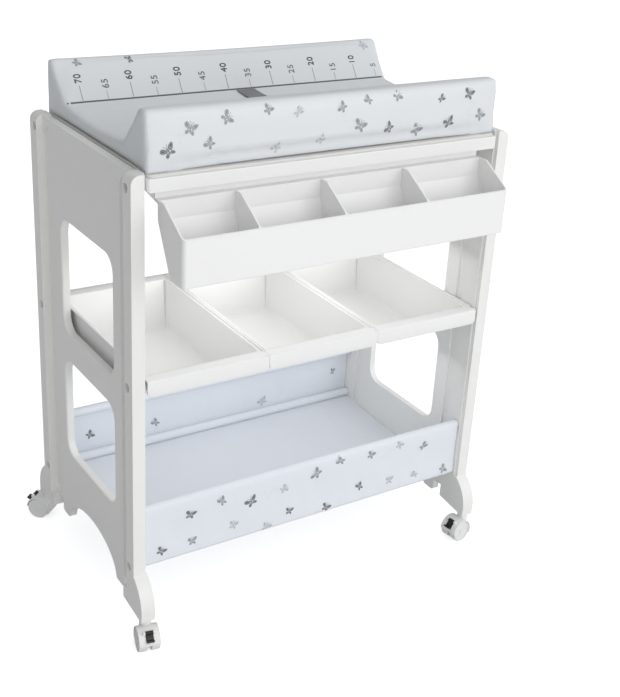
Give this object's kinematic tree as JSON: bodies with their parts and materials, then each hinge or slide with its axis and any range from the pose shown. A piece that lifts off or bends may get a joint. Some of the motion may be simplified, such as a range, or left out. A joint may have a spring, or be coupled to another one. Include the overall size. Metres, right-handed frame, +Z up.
{
  "type": "changing table with bathtub",
  "caption": "Baby changing table with fold-back padded mat over a bath, front tray, shelf trays, printed cloth basket and side panels on braked castors",
  "frame": {"origin": "on the floor under the middle of the whole object's box", "axes": "+X along the width to the right of someone in front, +Y to the back, +Z up"},
  "size_m": [0.8357, 0.5984, 0.9951],
  "materials": {
    "panel_plastic": "white moulded plastic, satin",
    "rod_enamel": "white enamelled steel tube",
    "fastener_steel": "zinc plated",
    "bath_plastic": "white, glossy",
    "plug_rubber": "soft light grey",
    "tray_plastic": "white, satin",
    "basket_cloth": "white nylon with a grey print",
    "board": "white laminated fibre board",
    "mat_cover": "wipe-clean white cover with a grey print",
    "webbing": "grey polyester webbing",
    "buckle_plastic": "dark grey",
    "hinge_steel": "white enamelled steel",
    "castor_steel": "zinc plated",
    "wheel_plastic": "hard light grey white",
    "brake_plastic": "black"
  },
  "bodies": {
    "stand": {"side_panel_left": "panel_plastic", "side_panel_right": "panel_plastic", "bath_rod_front": "rod_enamel", "bath_rod_rear": "rod_enamel", "shelf_rod_front": "rod_enamel", "shelf_rod_rear": "rod_enamel", "basket_base_rod_front": "rod_enamel", "basket_base_rod_rear": "rod_enamel", "basket_hem_rod_front": "rod_enamel", "basket_hem_rod_rear": "rod_enamel", "rod_inserts": "fastener_steel", "rod_screws": "fastener_steel", "bath_tub": "bath_plastic", "front_tray": "tray_plastic", "basket": "basket_cloth", "hinge_lower_leaves": "hinge_steel", "hinge_lower_screws": "fastener_steel", "hinge_pins": "hinge_steel"},
    "changing_top": {"changing_board": "board", "changing_mat": "mat_cover", "strap_front": "webbing", "strap_rear": "webbing", "buckle_socket": "buckle_plastic", "buckle_tongue": "buckle_plastic", "hinge_upper_leaves": "hinge_steel", "hinge_upper_screws": "fastener_steel"},
    "shelf_tray_left": {"shelf_tray_left": "tray_plastic"},
    "shelf_tray_middle": {"shelf_tray_middle": "tray_plastic"},
    "shelf_tray_right": {"shelf_tray_right": "tray_plastic"},
    "drain_plug": {"drain_plug": "plug_rubber"},
    "castor_front_left": {"castor_housing_front_left": "panel_plastic", "castor_stem_front_left": "castor_steel", "castor_axle_front_left": "castor_steel"},
    "wheel_front_left_a": {"castor_wheel_front_left_a": "wheel_plastic"},
    "wheel_front_left_b": {"castor_wheel_front_left_b": "wheel_plastic"},
    "brake_front_left": {"castor_brake_front_left": "brake_plastic"},
    "castor_front_right": {"castor_housing_front_right": "panel_plastic", "castor_stem_front_right": "castor_steel", "castor_axle_front_right": "castor_steel"},
    "wheel_front_right_a": {"castor_wheel_front_right_a": "wheel_plastic"},
    "wheel_front_right_b": {"castor_wheel_front_right_b": "wheel_plastic"},
    "brake_front_right": {"castor_brake_front_right": "brake_plastic"},
    "castor_rear_left": {"castor_housing_rear_left": "panel_plastic", "castor_stem_rear_left": "castor_steel", "castor_axle_rear_left": "castor_steel"},
    "wheel_rear_left_a": {"castor_wheel_rear_left_a": "wheel_plastic"},
    "wheel_rear_left_b": {"castor_wheel_rear_left_b": "wheel_plastic"},
    "brake_rear_left": {"castor_brake_rear_left": "brake_plastic"},
    "castor_rear_right": {"castor_housing_rear_right": "panel_plastic", "castor_stem_rear_right": "castor_steel", "castor_axle_rear_right": "castor_steel"},
    "wheel_rear_right_a": {"castor_wheel_rear_right_a": "wheel_plastic"},
    "wheel_rear_right_b": {"castor_wheel_rear_right_b": "wheel_plastic"},
    "brake_rear_right": {"castor_brake_rear_right": "brake_plastic"}
  },
  "joints": [
    {"name": "changing_top_hinge", "type": "hinge", "parent": "stand", "child": "changing_top", "pos_m": [0.00243, 0.23875, 0.8891], "axis": [-1, 0, 0], "range_deg": [0, 95]},
    {"name": "shelf_tray_left_lift", "type": "slide", "parent": "stand", "child": "shelf_tray_left", "axis": [0, 0, 1], "range_m": [0, 0.09]},
    {"name": "shelf_tray_middle_lift", "type": "slide", "parent": "stand", "child": "shelf_tray_middle", "axis": [0, 0, 1], "range_m": [0, 0.09]},
    {"name": "shelf_tray_right_lift", "type": "slide", "parent": "stand", "child": "shelf_tray_right", "axis": [0, 0, 1], "range_m": [0, 0.09]},
    {"name": "drain_plug_pull", "type": "slide", "parent": "stand", "child": "drain_plug", "axis": [0, 0, 1], "range_m": [0, 0.03]},
    {"name": "castor_front_left_swivel", "type": "hinge", "parent": "stand", "child": "castor_front_left", "pos_m": [-0.37407, -0.22825, 0.056], "axis": [0, 0, 1], "continuous": true},
    {"name": "wheel_front_left_a_spin", "type": "hinge", "parent": "castor_front_left", "child": "wheel_front_left_a", "pos_m": [-0.37781, -0.24586, 0.0223], "axis": [0.9781, -0.2079, 0], "continuous": true},
    {"name": "wheel_front_left_b_spin", "type": "hinge", "parent": "castor_front_left", "child": "wheel_front_left_b", "pos_m": [-0.37781, -0.24586, 0.0223], "axis": [0.9781, -0.2079, 0], "continuous": true},
    {"name": "brake_front_left_lever", "type": "hinge", "parent": "castor_front_left", "child": "brake_front_left", "pos_m": [-0.38083, -0.26006, 0.04554], "axis": [-0.9781, 0.2079, 0], "range_deg": [0, 15]},
    {"name": "castor_front_right_swivel", "type": "hinge", "parent": "stand", "child": "castor_front_right", "pos_m": [0.37893, -0.22825, 0.056], "axis": [0, 0, 1], "continuous": true},
    {"name": "wheel_front_right_a_spin", "type": "hinge", "parent": "castor_front_right", "child": "wheel_front_right_a", "pos_m": [0.36111, -0.23075, 0.0223], "axis": [0.1392, -0.9903, 0], "continuous": true},
    {"name": "wheel_front_right_b_spin", "type": "hinge", "parent": "castor_front_right", "child": "wheel_front_right_b", "pos_m": [0.36111, -0.23075, 0.0223], "axis": [0.1392, -0.9903, 0], "continuous": true},
    {"name": "brake_front_right_lever", "type": "hinge", "parent": "castor_front_right", "child": "brake_front_right", "pos_m": [0.34673, -0.23278, 0.04554], "axis": [-0.1392, 0.9903, 0], "range_deg": [0, 15]},
    {"name": "castor_rear_left_swivel", "type": "hinge", "parent": "stand", "child": "castor_rear_left", "pos_m": [-0.37407, 0.25175, 0.056], "axis": [0, 0, 1], "continuous": true},
    {"name": "wheel_rear_left_a_spin", "type": "hinge", "parent": "castor_rear_left", "child": "wheel_rear_left_a", "pos_m": [-0.38611, 0.26513, 0.0223], "axis": [-0.7431, -0.6691, 0], "continuous": true},
    {"name": "wheel_rear_left_b_spin", "type": "hinge", "parent": "castor_rear_left", "child": "wheel_rear_left_b", "pos_m": [-0.38611, 0.26513, 0.0223], "axis": [-0.7431, -0.6691, 0], "continuous": true},
    {"name": "brake_rear_left_lever", "type": "hinge", "parent": "castor_rear_left", "child": "brake_rear_left", "pos_m": [-0.39583, 0.27592, 0.04554], "axis": [0.7431, 0.6691, 0], "range_deg": [0, 15]},
    {"name": "castor_rear_right_swivel", "type": "hinge", "parent": "stand", "child": "castor_rear_right", "pos_m": [0.37893, 0.25175, 0.056], "axis": [0, 0, 1], "continuous": true},
    {"name": "wheel_rear_right_a_spin", "type": "hinge", "parent": "castor_rear_right", "child": "wheel_rear_right_a", "pos_m": [0.38793, 0.26734, 0.0223], "axis": [-0.866, 0.5, 0], "continuous": true},
    {"name": "wheel_rear_right_b_spin", "type": "hinge", "parent": "castor_rear_right", "child": "wheel_rear_right_b", "pos_m": [0.38793, 0.26734, 0.0223], "axis": [-0.866, 0.5, 0], "continuous": true},
    {"name": "brake_rear_right_lever", "type": "hinge", "parent": "castor_rear_right", "child": "brake_rear_right", "pos_m": [0.39519, 0.27991, 0.04554], "axis": [0.866, -0.5, 0], "range_deg": [0, 15]}
  ]
}
